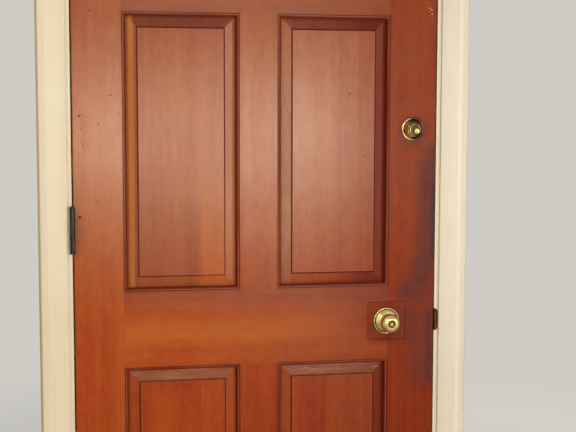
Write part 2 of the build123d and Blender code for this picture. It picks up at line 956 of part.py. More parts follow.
with BuildPart() as latch_bolt:
    tip = half_width + latch_throw
    add(
        block(
            (tip - latch_length, middle_y - latch_width / 2, knob_z - latch_height / 2),
            (tip, middle_y + latch_width / 2, knob_z + latch_height / 2),
        )
    )
    with BuildSketch(Plane.XY.offset(knob_z)):
        with BuildLine():
            Polyline(
                (tip + 1, middle_y + latch_width / 2 + 1),
                (tip - latch_throw + 1, middle_y + latch_width / 2 + 1),
                (tip + 1, middle_y - latch_width / 2 + 1),
                close=True,
            )
        make_face()
    extrude(amount=latch_height, both=True, mode=Mode.SUBTRACT)
save(latch_bolt.part, "latch_bolt")

with BuildPart() as deadbolt:
    with BuildSketch(Plane((half_width, middle_y, deadbolt_z), x_dir=(0, 1, 0), z_dir=(1, 0, 0))):
        RectangleRounded(deadbolt_width, deadbolt_height, deadbolt_corner)
    extrude(amount=-deadbolt_length)
    chamfer(deadbolt.faces().sort_by(Axis.X)[-1].edges(), 1.0)
save(deadbolt.part, "deadbolt")


# Knob set


def turned(x, z, side, draw, cuts):
    """A turned piece on an axis through the leaf. draw makes its half outline as (radius, projection)."""
    face_y = inside_y if side < 0 else outside_y
    plane = Plane((x, face_y, z), x_dir=(1, 0, 0), z_dir=(0, 0, side))
    with BuildPart() as piece:
        with BuildSketch(plane):
            with BuildLine():
                draw()
            make_face()
        revolve(axis=Axis((x, face_y, z), (0, side, 0)))
        for cut in cuts:
            add(cut, mode=Mode.SUBTRACT)
    return piece.part


def rose_outline():
    """Rounded rim, a groove inside it and a dome up to the shank."""
    hole = shank_radius + running_gap
    Line((hole, 0), (rose_radius, 0))
    Line((rose_radius, 0), (rose_radius, 1.4))
    ThreePointArc((rose_radius, 1.4), (rose_radius - 1.6, rose_rim_height), (rose_radius - 3.4, 2.2))
    ThreePointArc((rose_radius - 3.4, 2.2), (25.5, 6.6), (20.0, rose_height - 1.2))
    ThreePointArc((20.0, rose_height - 1.2), (17.2, rose_height), (hole, rose_height - 0.6))
    Line((hole, rose_height - 0.6), (hole, 0))


def knob_outline():
    """Shank, waist, round body and a shallow dish round the centre."""
    lip = knob_recess_radius + 1.6
    Line((0, 2), (shank_radius, 2))
    Line((shank_radius, 2), (shank_radius, 12))
    ThreePointArc((shank_radius, 12), (neck_radius, 18.5), (16.5, 26.0))
    ThreePointArc((16.5, 26.0), (knob_radius, 39.0), (19.5, 51.0))
    ThreePointArc((19.5, 51.0), (15.4, 53.9), (lip, knob_projection - 1.2))
    rim = knob_projection - 1
    floor = knob_projection - knob_recess_depth
    ThreePointArc((lip, knob_projection - 1.2), (lip - 0.7, knob_projection), (knob_recess_radius, rim))
    Line((knob_recess_radius, rim), (knob_recess_radius, floor))
    Line((knob_recess_radius, floor), (0, floor))
    Line((0, floor), (0, 2))


def through_screw_holes(x, z, grow):
    return [
        along_y(
            x,
            z + side * through_screw_spacing / 2,
            through_screw_radius + grow,
            inside_y - through_screw_grip - grow,
            outside_y + through_screw_grip + grow,
        )
        for side in (-1, 1)
    ]


def square_bar(y_low, y_high, side):
    return block(
        (knob_x - side / 2, y_low, knob_z - side / 2),
        (knob_x + side / 2, y_high, knob_z + side / 2),
    )


rose_screw_holes = through_screw_holes(knob_x, knob_z, pilot_clearance)
collar_screw_holes = through_screw_holes(deadbolt_x, deadbolt_z, pilot_clearance)
save(
    Compound(
        children=through_screw_holes(knob_x, knob_z, 0) + through_screw_holes(deadbolt_x, deadbolt_z, 0)
    ),
    "lock_through_screws",
)

recess_floor = knob_projection - knob_recess_depth
for side, word in ((-1, "inside"), (1, "outside")):
    save(turned(knob_x, knob_z, side, rose_outline, rose_screw_holes), f"{word}_rose")
    face_y = inside_y if side < 0 else outside_y
    centre_hole = button_stem_radius if side < 0 else plug_radius
    floor_y = face_y + side * recess_floor
    depth = button_stem_length if side < 0 else keyway_depth + 6
    hole_ends = sorted((floor_y + side, floor_y - side * (depth + plug_clearance)))
    socket_ends = sorted((face_y, face_y + side * (spindle_reach + spindle_clearance)))
    centre = along_y(knob_x, knob_z, centre_hole + plug_clearance, *hole_ends)
    socket = square_bar(*socket_ends, spindle_side + 2 * spindle_clearance)
    save(turned(knob_x, knob_z, side, knob_outline, [centre, socket]), f"{word}_knob")

save(square_bar(inside_y - spindle_reach, outside_y + spindle_reach, spindle_side), "knob_spindle")

with BuildPart() as lock_button:
    floor_y = inside_y - recess_floor
    wing_reach = button_radius * button_wing_share
    add(along_y(knob_x, knob_z, button_radius, floor_y - button_height, floor_y - plug_clearance))
    stem_top = floor_y - button_height / 2
    add(along_y(knob_x, knob_z, button_stem_radius, stem_top, floor_y + button_stem_length))
    add(
        block(
            (knob_x - button_wing / 2, floor_y - button_projection, knob_z - wing_reach),
            (knob_x + button_wing / 2, floor_y - button_height + plug_clearance, knob_z + wing_reach),
        )
    )
save(lock_button.part, "lock_button")


def key_plug(x, z, face_y, side, length, tail_end):
    """A cylinder plug with its keyway, and a flat tail where it drives something."""
    ends = sorted((face_y, face_y - side * length))
    mouth = sorted((face_y + side, face_y - side * keyway_depth))
    with BuildPart() as plug:
        add(along_y(x, z, plug_radius, *ends))
        chamfer(plug.faces().sort_by(Axis.Y)[-1 if side > 0 else 0].edges(), 0.5)
        add(
            block(
                (x - keyway_width / 2, mouth[0], z - keyway_height / 2),
                (x + keyway_width / 2, mouth[1], z + keyway_height / 2),
            ),
            mode=Mode.SUBTRACT,
        )
        if tail_end is not None:
            tail = sorted((face_y - side * length, tail_end))
            add(
                block(
                    (x - tail_thickness / 2, tail[0], z - tail_width / 2),
                    (x + tail_thickness / 2, tail[1], z + tail_width / 2),
                )
            )
    return plug.part


save(
    key_plug(knob_x, knob_z, outside_y + recess_floor + 2.0, 1, keyway_depth + 8, None),
    "knob_key_plug",
)


# Deadbolt collars, cylinders and plugs


def collar_outline():
    """Flat flange with a rounded rim, then a cone up to the cylinder."""
    hole = cylinder_radius + running_gap
    Line((hole, 0), (collar_radius, 0))
    Line((collar_radius, 0), (collar_radius, 1.6))
    ThreePointArc((collar_radius, 1.6), (collar_radius - 2.4, collar_rim_height), (collar_rim_radius, 2.6))
    Line((collar_rim_radius, 2.6), (collar_nose_radius + 2, collar_height - 1.5))
    RadiusArc((collar_nose_radius + 2, collar_height - 1.5), (collar_nose_radius, collar_height), -2)
    Line((collar_nose_radius, collar_height), (hole, collar_height))
    Line((hole, collar_height), (hole, 0))


def cylinder_outline():
    """Plain barrel with an eased rim round a slightly dished face."""
    Line((0, 0), (cylinder_radius, 0))
    Line((cylinder_radius, 0), (cylinder_radius, cylinder_projection - 1.4))
    RadiusArc(
        (cylinder_radius, cylinder_projection - 1.4),
        (cylinder_radius - 1.4, cylinder_projection),
        -1.4,
    )
    Line((cylinder_radius - 1.4, cylinder_projection), (cylinder_radius - 2.4, cylinder_projection - 0.5))
    Line((cylinder_radius - 2.4, cylinder_projection - 0.5), (0, cylinder_projection - 0.5))
    Line((0, cylinder_projection - 0.5), (0, 0))


for side, word in ((-1, "inside"), (1, "outside")):
    face_y = inside_y if side < 0 else outside_y
    collar = turned(deadbolt_x, deadbolt_z, side, collar_outline, collar_screw_holes)
    save(collar, f"deadbolt_{word}_collar")
    plug_face = face_y + side * (cylinder_projection - 0.2)
    bore_ends = sorted((face_y - side, face_y + side * (cylinder_projection + 1)))
    bore = along_y(plug_x, plug_z, plug_radius + plug_clearance, *bore_ends)
    cylinder = turned(deadbolt_x, deadbolt_z, side, cylinder_outline, [bore])
    save(cylinder, f"deadbolt_{word}_cylinder")
    save(
        key_plug(plug_x, plug_z, plug_face, side, cylinder_projection, middle_y + side * 0.5),
        f"deadbolt_{word}_plug",
    )


# Seal under the leaf

with BuildPart() as door_sweep:
    half_sweep = sweep_width / 2
    length = door_width / 2 - sweep_end_gap
    add(
        block(
            (-length, middle_y - half_sweep, door_bottom - sweep_base),
            (length, middle_y + half_sweep, door_bottom),
        )
    )
    pitch = (sweep_width - sweep_fin) / (sweep_fins - 1)
    for index in range(sweep_fins):
        fin_y = middle_y - half_sweep + index * pitch
        add(
            block(
                (-length, fin_y, sill_crown + seal_clearance),
                (length, fin_y + sweep_fin, door_bottom - sweep_base),
            )
        )
save(door_sweep.part, "door_sweep")
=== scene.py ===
"""Looks of a panelled front door in its frame: stained fir, cream paint, brass and dark bronze.

Everything is in metres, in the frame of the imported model: X from the hinge side to the lock side, Y from
the room to the outside, Z up.
"""

import math
from functools import reduce

import bmesh
import bpy
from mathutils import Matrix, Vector


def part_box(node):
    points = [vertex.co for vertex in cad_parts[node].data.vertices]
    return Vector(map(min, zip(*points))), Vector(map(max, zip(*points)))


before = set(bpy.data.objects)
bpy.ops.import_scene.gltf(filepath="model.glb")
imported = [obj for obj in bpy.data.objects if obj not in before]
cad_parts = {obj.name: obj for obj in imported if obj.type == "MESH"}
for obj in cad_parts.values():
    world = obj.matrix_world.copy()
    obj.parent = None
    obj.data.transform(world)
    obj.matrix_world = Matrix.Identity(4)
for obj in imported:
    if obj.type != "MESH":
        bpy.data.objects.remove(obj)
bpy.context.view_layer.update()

MM = 0.001


# Shader expressions


class Value:
    """A number that varies over a surface. Arithmetic on it adds the Math nodes."""

    def __init__(self, finish, socket):
        self.finish = finish
        self.socket = socket

    def math(self, operation, *operands):
        made = self.finish.node("ShaderNodeMath", {"operation": operation}, dict(enumerate(operands)))
        return Value(self.finish, made.outputs["Value"])

    def __add__(self, other):
        return self.math("ADD", self, other)

    def __sub__(self, other):
        return self.math("SUBTRACT", self, other)

    def __rsub__(self, other):
        return self.math("SUBTRACT", other, self)

    def __mul__(self, other):
        return self.math("MULTIPLY", self, other)

    def __truediv__(self, other):
        return self.math("DIVIDE", self, other)

    def __pow__(self, other):
        return self.math("POWER", self, other)

    def __abs__(self):
        return self.math("ABSOLUTE", self)

    __radd__ = __add__
    __rmul__ = __mul__

    def least(self, other):
        return self.math("MINIMUM", self, other)

    def most(self, other):
        return self.math("MAXIMUM", self, other)

    def rising(self, low, high):
        """0 below low and 1 above high, smooth between them."""
        settings = {"interpolation_type": "SMOOTHSTEP"}
        sockets = {"Value": self, "From Min": low, "From Max": high}
        made = self.finish.node("ShaderNodeMapRange", settings, sockets)
        return Value(self.finish, made.outputs["Result"])

    def falling(self, low, high):
        return 1 - self.rising(low, high)

    def band(self, middle, half_width, softness):
        """1 within half_width of middle, falling to 0 over the softness outside it."""
        return abs(self - middle).falling(half_width, half_width + softness)


class Finish:
    """One material's node tree and the few ways it is filled."""

    def __init__(self, name):
        self.material = bpy.data.materials.new(name)
        self.material.use_nodes = True
        self.tree = self.material.node_tree
        self.tree.nodes.clear()
        self.coordinates = self.node("ShaderNodeTexCoord").outputs["Object"]
        parts = self.node("ShaderNodeSeparateXYZ", sockets={"Vector": self.coordinates})
        self.x, self.y, self.z = (Value(self, parts.outputs[axis]) for axis in "XYZ")

    def node(self, kind, settings=None, sockets=None):
        """Adds a node: its settings first (a ramp's stops among them), then its sockets' values or links."""
        made = self.tree.nodes.new(kind)
        for name, value in (settings or {}).items():
            if name == "stops":
                ramp = made.color_ramp
                while len(ramp.elements) < len(value):
                    ramp.elements.new(1)
                for element, (position, colour) in zip(ramp.elements, value):
                    element.position = position
                    element.color = (*colour, 1)
            else:
                setattr(made, name, value)
        for key, value in (sockets or {}).items():
            socket = made.inputs[key]
            if isinstance(value, Value):
                self.tree.links.new(value.socket, socket)
            elif isinstance(value, bpy.types.NodeSocket):
                self.tree.links.new(value, socket)
            else:
                socket.default_value = (*value, 1) if socket.type == "RGBA" else value
        return made

    def point(self, x, y, z):
        return self.node("ShaderNodeCombineXYZ", sockets={"X": x, "Y": y, "Z": z}).outputs["Vector"]

    def noise(self, point, scale=1.0, detail=3.0, roughness=0.5):
        sockets = {"Vector": point, "Scale": scale, "Detail": detail, "Roughness": roughness}
        return Value(self, self.node("ShaderNodeTexNoise", sockets=sockets).outputs["Fac"])

    def speckle(self, point, scale):
        """Distance to the nearest of scattered points, in cells."""
        made = self.node("ShaderNodeTexVoronoi", sockets={"Vector": point, "Scale": scale})
        return Value(self, made.outputs["Distance"])

    def ramp(self, value, *stops):
        return self.node("ShaderNodeValToRGB", {"stops": stops}, {"Fac": value}).outputs["Color"]

    def mix(self, amount, first, second, blend="MIX"):
        settings = {"data_type": "RGBA", "blend_type": blend, "clamp_factor": True}
        made = self.node("ShaderNodeMix", settings, {0: amount, 6: first, 7: second})
        return made.outputs[2]

    def bump(self, height, distance, strength):
        sockets = {"Height": height, "Distance": distance, "Strength": strength}
        return self.node("ShaderNodeBump", sockets=sockets).outputs["Normal"]

    def surface(self, **sockets):
        """Ends the tree in a principled surface. Names are its sockets', with _ for a blank."""
        named = {name.replace("_", " "): value for name, value in sockets.items()}
        shader = self.node("ShaderNodeBsdfPrincipled", sockets=named).outputs["BSDF"]
        self.node("ShaderNodeOutputMaterial", sockets={"Surface": shader})
        return self.material


def dress(material, *nodes):
    """Gives a material to the frame's own pieces."""
    for name in nodes:
        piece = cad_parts[name]
        piece.data.materials.clear()
        piece.data.materials.append(material)


# Places, read off the frame


def middle_of(node):
    low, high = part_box(node)
    return Vector([(a + b) / 2 for a, b in zip(low, high)])


def span_of(node, axis):
    low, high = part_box(node)
    return low[axis], high[axis]


leaf_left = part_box("hinge_stile")[0][0]
leaf_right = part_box("lock_stile")[1][0]
leaf_inside = span_of("hinge_stile", 1)[0]
moulding = 9 * MM
bevel = 29 * MM
tongue = 10 * MM
knob = middle_of("inside_rose")
deadbolt = middle_of("deadbolt_inside_collar")
patch_left, patch_right = span_of("lock_patch", 0)
patch_half = (patch_right - patch_left) / 2
hinge_levels = [middle_of(f"{place}_hinge_door_leaf").z for place in ("top", "middle", "bottom")]

# The bevel of a panel starts at the sight line and its field at the field line, measured from the opening
sight_line = -moulding
field_line = -moulding - bevel


def opening_of(panel):
    """Middle and half sizes of the opening round a panel, whose edge is hidden in its groove."""
    low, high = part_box(panel)
    over = tongue - moulding
    half = [(high[axis] - low[axis]) / 2 - over for axis in (0, 2)]
    centre = [(high[axis] + low[axis]) / 2 for axis in (0, 2)]
    return centre, half


ROWS = ("bottom", "middle", "top")
(opening_middle, _), (opening_half, _) = opening_of("middle_right_panel")
stile_edge = opening_middle + opening_half
muntin_edge = opening_middle - opening_half
bevel_beside_muntin = muntin_edge + moulding + bevel / 2

# Which way a board runs
UPRIGHT = True
LEVEL = False


# Fir: stained boards under satin varnish

# Heights of the painted sheen: across the middle panels, and down the bevels beside the muntin
SHEEN_HEIGHT = 1.32
BEVEL_SHEEN_HEIGHT = 1.28

# The stain, from where it took deepest to where it faded most
STAIN = (
    (0.34, (0.210, 0.017, 0.003)),
    (0.43, (0.305, 0.031, 0.003)),
    (0.50, (0.360, 0.046, 0.004)),
    (0.57, (0.395, 0.066, 0.006)),
    (0.66, (0.440, 0.100, 0.012)),
)
ORANGE_STREAK = (0.470, 0.105, 0.010)
BROWN_BLOTCH = (0.170, 0.030, 0.020)
SHEEN_TINT = (0.385, 0.115, 0.016)
BROWNED = (0.160, 0.045, 0.022)
HANDLED_DARK = (0.115, 0.012, 0.005)

# Mouldings and bevels
MOULDING_SHADE = (0.115, 0.010, 0.005)
ARRIS_HIGHLIGHT = (0.500, 0.170, 0.090)
EDGE_DIRT = (0.100, 0.012, 0.006)
QUIRK_STAIN_AND_SHADE = (0.110, 0.008, 0.004)
FIELD_DIRT = (0.190, 0.028, 0.014)
LIT_BEVEL = (0.440, 0.145, 0.060)
SHADED_BEVEL = (0.115, 0.011, 0.009)
END_GRAIN_AND_SHADE = (0.120, 0.018, 0.016)
RUBBED_EDGE_AND_HIGHLIGHT = (0.55, 0.19, 0.08)

# Fine wear all over
TICK = (0.130, 0.020, 0.010)
SCRATCH = (0.55, 0.24, 0.13)


def beyond_sides(finish):
    """Distance outside the nearest column of openings, negative inside it."""
    return abs(abs(finish.x) - opening_middle) - opening_half


def beyond_opening(finish, rows):
    """Distance outside the nearest opening of these rows, negative inside it."""
    across = beyond_sides(finish)
    distances = []
    for row in rows:
        (_, level), (_, half_height) = opening_of(f"{row}_right_panel")
        distances.append(across.most(abs(finish.z - level) - half_height))
    return reduce(Value.least, distances)


def cut_across(finish, row):
    """The top bevel of a panel, where the end grain drank more stain and where shade is painted."""
    (_, level), (_, half_height) = opening_of(f"{row}_right_panel")
    up = finish.z - level - half_height
    return (up - beyond_sides(finish)).rising(0, 1 * MM) * up.rising(field_line, field_line + 1 * MM)


def from_segment(finish, start, end):
    """Distance in the face of the leaf from a line between two (x, z) points."""
    run = (end[0] - start[0], end[1] - start[1])
    square = run[0] ** 2 + run[1] ** 2
    x = finish.x - start[0]
    z = finish.z - start[1]
    share = ((x * run[0] + z * run[1]) / square).most(0).least(1)
    return ((x - share * run[0]) ** 2 + (z - share * run[1]) ** 2) ** 0.5


def from_point(finish, place):
    return ((finish.x - place[0]) ** 2 + (finish.z - place[1]) ** 2) ** 0.5


class Grain:
    """The fields that a board's stain, dirt and gloss are made from, about 0 to 1 each."""

    def __init__(self, finish, upright, seed):
        x, y, z = finish.x, finish.y, finish.z
        noise, point = finish.noise, finish.point
        along, across = (z, x) if upright else (x, z)
        self.cloud = noise(finish.coordinates, scale=3.2, detail=5, roughness=0.62)
        self.blotch = noise(point(x * 9, y * 9, z * 6 + seed), detail=5, roughness=0.65)
        self.mottle = noise(point(across * 75, y * 40, along * 34 + seed), detail=5, roughness=0.7)
        self.streak = noise(point(across * 17 + seed, y * 5, along * 0.8), detail=3, roughness=0.55)
        self.tick = noise(point(across * 800, y * 200, along * 45 + seed), detail=1)
        slant = point((x + z * 0.5) * 700, y * 20, (z - x * 0.5) * 9 + seed)
        self.scratch = noise(slant, detail=2, roughness=0.4)

        drift = noise(point(across * 5 + seed, seed, along * 1.3), detail=2)
        across = across + drift * 0.02
        broad = noise(point(across * 26 + seed, y * 9, along * 0.9), detail=3, roughness=0.55)
        lines = noise(point(across * 190, y * 60 + seed, along * 2.1), detail=4, roughness=0.6)
        fibres = noise(point(across * 900, y * 300, along * 16 + seed), detail=2, roughness=0.6)
        self.tone = broad * 0.66 + lines * 0.22 + fibres * 0.12
        self.fibres = lines * 0.5 + fibres * 0.5


def stained(finish, grain, tone):
    """Uneven stain: browner above the middle panels, darker to the lock side; painted sheen across them."""
    depth = grain.tone * 0.42 + grain.blotch * 0.2 + grain.cloud * 0.2 + grain.mottle * 0.18 + tone
    colour = finish.ramp(depth, *STAIN)
    colour = finish.mix(grain.streak.rising(0.50, 0.72) * 0.45, colour, ORANGE_STREAK)
    colour = finish.mix(grain.blotch.rising(0.52, 0.74) * 0.38, colour, BROWN_BLOTCH)
    # Painted sheen: lighter and more orange at the height of the key light's gloss, less towards the lock
    sheen_tint = finish.z.band(SHEEN_HEIGHT, 0.12, 0.40) * (0.3 + finish.x.falling(0.24, 0.38) * 0.7)
    colour = finish.mix(sheen_tint * 0.42, colour, SHEEN_TINT)
    colour = finish.mix(finish.z.rising(1.35, 1.64) * 0.20, colour, BROWNED)
    towards_lock = (finish.x + (1.3 - finish.z) * 0.3).rising(-0.1, 0.6)
    return finish.mix(towards_lock * 0.48, colour, HANDLED_DARK)


def moulded(finish, grain, colour, beyond):
    """The moulding run round an opening, in painted shade with a painted highlight on its arris,
    and the dirt beside it. Also gives where the moulding is.
    """
    run = beyond.band(sight_line / 2, moulding / 2 - 0.5 * MM, 1 * MM)
    # Painted shade over the whole moulding
    colour = finish.mix(run * 0.75, colour, MOULDING_SHADE)
    # Painted highlight along the moulding's rounded arris
    arris_highlight = beyond.band(-3.2 * MM, 0.5 * MM, 1.1 * MM) * grain.blotch.rising(0.3, 0.6)
    colour = finish.mix(arris_highlight * 0.4, colour, ARRIS_HIGHLIGHT)
    dirt = beyond.band(0.0, 0.0, 11 * MM) * grain.mottle.rising(0.4, 0.62)
    return finish.mix(dirt * 0.35, colour, EDGE_DIRT), run


def bevelled(finish, grain, colour, beyond, row):
    """A panel's bevels, with painted light on those towards the hinges and painted shade on those towards
    the lock, and dirt round the rim of its field.

    Also gives where the painted shade on the bevels is.
    """
    rim = beyond.band(field_line, 0.0, 55 * MM) * (0.3 + grain.blotch.rising(0.35, 0.6) * 0.7)
    colour = finish.mix(rim * 0.22, colour, FIELD_DIRT)
    slope = beyond.band(sight_line - bevel / 2, bevel / 2 - 1 * MM, 1 * MM)
    # Painted light: the bevels towards the hinges made paler, most of all higher up
    lit_bevels = slope * finish.x.falling(0.05, 0.25) * (0.5 + grain.mottle.rising(0.35, 0.6) * 0.5)
    lit_bevels = lit_bevels * (0.35 + finish.z.rising(0.85, 1.15) * 0.65)
    colour = finish.mix(lit_bevels * 0.50, colour, LIT_BEVEL)
    # Painted shade: the bevels towards the lock made darker
    dark = slope * finish.x.rising(0.18, 0.30)
    colour = finish.mix(dark * 0.65, colour, SHADED_BEVEL)
    # The top bevel darker: end grain that drank more stain, and painted shade
    colour = finish.mix(cut_across(finish, row) * 0.65, colour, END_GRAIN_AND_SHADE)
    # A thin pale line at the step up to the field: wear and a painted highlight
    edge = beyond.band(field_line - 1.3 * MM, 0.4 * MM, 0.8 * MM)
    return finish.mix(edge * 0.2, colour, RUBBED_EDGE_AND_HIGHLIGHT), dark


def dark_lines(beyond, panel):
    """Where stain and dirt gathered and shade is painted: in the quirk, at the sight line
    and at the step up to a field.
    """
    quirk = beyond.band(-0.6 * MM, 0.7 * MM, 1.2 * MM) * 0.6
    lines = quirk.most(beyond.band(sight_line, 0.6 * MM, 1.8 * MM) * 0.4)
    if panel:
        lines = lines.most(beyond.band(field_line + 1 * MM, 1 * MM, 1.8 * MM) * 0.9)
    return lines


def varnish(finish, grain, dulled):
    """How much varnish is left: least near the floor, towards the lock and where the wood is dulled."""
    left = 0.35 + (finish.z + finish.x * 0.6).rising(0.60, 1.10) * 0.65
    left = left * (1 - finish.x.rising(0.14, 0.34) * 0.45)
    brushed = (grain.fibres * 0.4 + grain.cloud * 0.3 + grain.mottle * 0.3).rising(0.36, 0.64)
    return (1 - dulled * 1.4).most(0) * (0.72 + brushed * 0.5) * left


def fir(name, upright, seed, rows=(), tone=0.0, marks=None, panel=False, gloss=0.58):
    """One board's finish. marks adds what has happened to this board alone."""
    finish = Finish(f"fir_{name}")
    grain = Grain(finish, upright, seed)
    colour = stained(finish, grain, tone)
    dulled = 0.0
    if rows:
        beyond = beyond_opening(finish, rows)
        colour, run = moulded(finish, grain, colour, beyond)
        dulled = run * 0.5
        if panel:
            colour, shaded_bevels = bevelled(finish, grain, colour, beyond, rows[0])
            dulled = dulled.most(shaded_bevels * 0.3)
        lines = dark_lines(beyond, panel)
        colour = finish.mix(lines, colour, QUIRK_STAIN_AND_SHADE)
        dulled = dulled.most(lines)
    if marks:
        colour, marked = marks(finish, colour)
        dulled = marked.most(dulled)
    colour = finish.mix(grain.tick.rising(0.66, 0.74) * 0.30, colour, TICK)
    scratch = grain.scratch.rising(0.69, 0.73) * grain.blotch.rising(0.48, 0.6)
    colour = finish.mix(scratch * 0.18, colour, SCRATCH)
    dulled = (scratch * 0.3).most(dulled)
    return finish.surface(
        Base_Color=colour,
        Roughness=0.36 + grain.fibres * 0.12,
        Normal=finish.bump(grain.fibres, 0.08 * MM, 0.6),
        Specular_IOR_Level=0.06,
        Coat_Weight=varnish(finish, grain, dulled) * gloss,
        Coat_Roughness=0.29,
    )


# Marks on single boards. Each function gives the marked colour and how far the varnish is dulled

# Knocks, as (x, z, radius)
HINGE_STILE_DENTS = (
    (-0.364, 1.4215, 2.2 * MM),
    (-0.440, 1.371, 2.6 * MM),
    (-0.394, 1.353, 2.0 * MM),
    (-0.413, 1.624, 2.0 * MM),
    (-0.386, 1.599, 1.6 * MM),
    (-0.3455, 1.378, 1.6 * MM),
    (-0.441, 1.125, 3.8 * MM),
    (-0.446, 1.134, 1.6 * MM),
    (-0.398, 1.163, 1.7 * MM),
    (-0.437, 1.340, 1.7 * MM),
    (-0.431, 1.301, 1.5 * MM),
)
RIGHT_PANEL_DENTS = ((0.2325, 1.4287, 2.4 * MM), (0.273, 1.2725, 1.8 * MM))

# Long marks, as the (x, z) points at their ends
CRAZING = ((-0.431, 1.372), (-0.424, 1.292))
SMEAR_UP_EDGE = ((0.472, 1.250), (0.468, 1.030))
SMEAR_TO_KNOB = ((0.458, 1.040), (0.404, 0.925))
SMEAR_BELOW_KNOB = ((0.424, 0.910), (0.428, 0.700))
SMEAR_LOW_ON_EDGE = ((0.455, 0.860), (0.452, 0.700))
GRIMY_EDGE = ((0.466, 1.200), (0.466, 1.020))
PAINT_SPRAY = ((0.430, 1.668), (0.446, 1.628))

DENT = (0.060, 0.009, 0.006)
HAND_GREY = (0.13, 0.035, 0.030)
CRAZED = (0.150, 0.045, 0.030)
PALE_BEVEL_SHEEN = (0.470, 0.285, 0.215)
BROWNER_BOARD = (0.120, 0.045, 0.034)
WARMER_BOARD = (0.560, 0.165, 0.035)
GOLDEN_BEVEL = (0.560, 0.190, 0.025)
BEVEL_FOOT_SHADE = (0.200, 0.030, 0.010)
WARM_LEDGE = (0.330, 0.095, 0.030)
LEDGE_SHEEN = (0.560, 0.330, 0.230)
LEDGE_DUST = (0.110, 0.022, 0.012)
JOINT = (0.09, 0.012, 0.006)
PATCH_JOINT_AND_SHADOW = (0.08, 0.014, 0.010)
KNOB_GRIME = (0.062, 0.022, 0.020)
SMEAR = (0.048, 0.024, 0.027)
OLD_PAINT = (0.78, 0.70, 0.55)
RAIL_EDGE_BROWN = (0.165, 0.030, 0.018)
RAIL_MIDDLE_ORANGE = (0.520, 0.135, 0.014)
NEAR_KNOB_BROWN = (0.130, 0.020, 0.014)


def dents(finish, places):
    """1 in the knocks and 0 off them."""
    holes = [from_point(finish, (x, z)).falling(radius * 0.5, radius * 1.3) for x, z, radius in places]
    return reduce(Value.most, holes)


def hinge_stile_marks(finish, colour):
    """Knocks, hand marks beside the hinges, a grimy edge and a patch where the varnish has crazed."""
    patchy = finish.noise(finish.coordinates, scale=60, detail=5, roughness=0.7).rising(0.35, 0.6)
    for level in hinge_levels:
        grey = from_segment(finish, (leaf_left, level - 40 * MM), (leaf_left, level + 30 * MM))
        colour = finish.mix(grey.falling(6 * MM, 34 * MM) * patchy * 0.6, colour, HAND_GREY)
    grimy = (finish.x - leaf_left).falling(0.5 * MM, 4 * MM) * (0.35 + patchy * 0.5)
    hit = dents(finish, HINGE_STILE_DENTS).most(grimy)
    colour = finish.mix(hit * 0.85, colour, DENT)
    crazed = finish.noise(finish.coordinates, scale=170, detail=3, roughness=0.6).rising(0.50, 0.62)
    crazed = crazed * from_segment(finish, *CRAZING).falling(4 * MM, 18 * MM)
    return finish.mix(crazed * 0.26, colour, CRAZED), hit.most(crazed * 0.3)


def sheen_down_bevel(finish, colour, bevel_middle, depth):
    """Pale grey painted sheen down an upright bevel, at the height of the key light's gloss."""
    streaky = finish.point(finish.x * 90, finish.y, finish.z * 18)
    patchy = finish.noise(streaky, detail=5, roughness=0.7).rising(0.35, 0.6)
    on_bevel = finish.x.band(bevel_middle, bevel / 2 - 4 * MM, 3 * MM)
    grey = on_bevel * finish.z.band(BEVEL_SHEEN_HEIGHT, 0.10, 0.30)
    return finish.mix(grey * (0.5 + patchy * 0.5) * depth, colour, PALE_BEVEL_SHEEN)


def right_panel_marks(finish, colour):
    """Two knocks, and painted sheen down the bevel beside the muntin."""
    colour = sheen_down_bevel(finish, colour, bevel_beside_muntin, 0.56)
    hit = dents(finish, RIGHT_PANEL_DENTS)
    return finish.mix(hit * 0.85, colour, DENT), hit


def left_panel_marks(finish, colour):
    """Glued up of two boards, the wider one browner, most of all low down, with one golden bevel."""
    wander = finish.noise(finish.point(finish.x * 60, 3.0, finish.z * 5), detail=3) * (26 * MM)
    half_field = opening_half - moulding - bevel
    seam = half_field * 0.38 - opening_middle
    browner = (finish.x + wander).falling(seam, seam + 30 * MM)
    low = finish.z.falling(1.08, 1.30)
    colour = finish.mix(browner * (0.07 + low * 0.14), colour, BROWNER_BOARD)
    colour = finish.mix((1 - browner) * low * 0.18, colour, WARMER_BOARD)
    # Painted sheen down the bevel beside the muntin, fainter than on the right panel
    colour = sheen_down_bevel(finish, colour, -bevel_beside_muntin, 0.24)
    up_bevel = finish.x + stile_edge - moulding
    colour = finish.mix(up_bevel.band(bevel * 0.42, 3 * MM, 6 * MM) * 0.45, colour, GOLDEN_BEVEL)
    # Painted shade along the top of the bevel, against the step up to the field
    colour = finish.mix(up_bevel.band(bevel - 4 * MM, 1.5 * MM, 4 * MM) * 0.35, colour, BEVEL_FOOT_SHADE)
    return colour, browner * 0.05


def sheened_ledge(finish, colour):
    """A bottom panel: its top bevel warmer, with painted sheen in pale streaks and dust along the field."""
    ledge = cut_across(finish, "bottom")
    long = finish.noise(finish.point(finish.x * 14, finish.y * 30, finish.z * 150), detail=5, roughness=0.65)
    fine = finish.noise(finish.point(finish.x * 60, finish.y * 60, finish.z * 300), detail=3, roughness=0.6)
    colour = finish.mix(ledge * (0.50 - finish.x.rising(0.0, 0.1) * 0.25), colour, WARM_LEDGE)
    # Painted sheen in pale streaks along the top bevel
    sheen_streaks = ledge * (long * 0.7 + fine * 0.3).rising(0.44, 0.66)
    colour = finish.mix(sheen_streaks * 0.26, colour, LEDGE_SHEEN)
    dust = beyond_opening(finish, ("bottom",)).band(field_line, 0.5 * MM, 5 * MM) * ledge
    return finish.mix(dust * 0.55, colour, LEDGE_DUST), sheen_streaks * 0.4


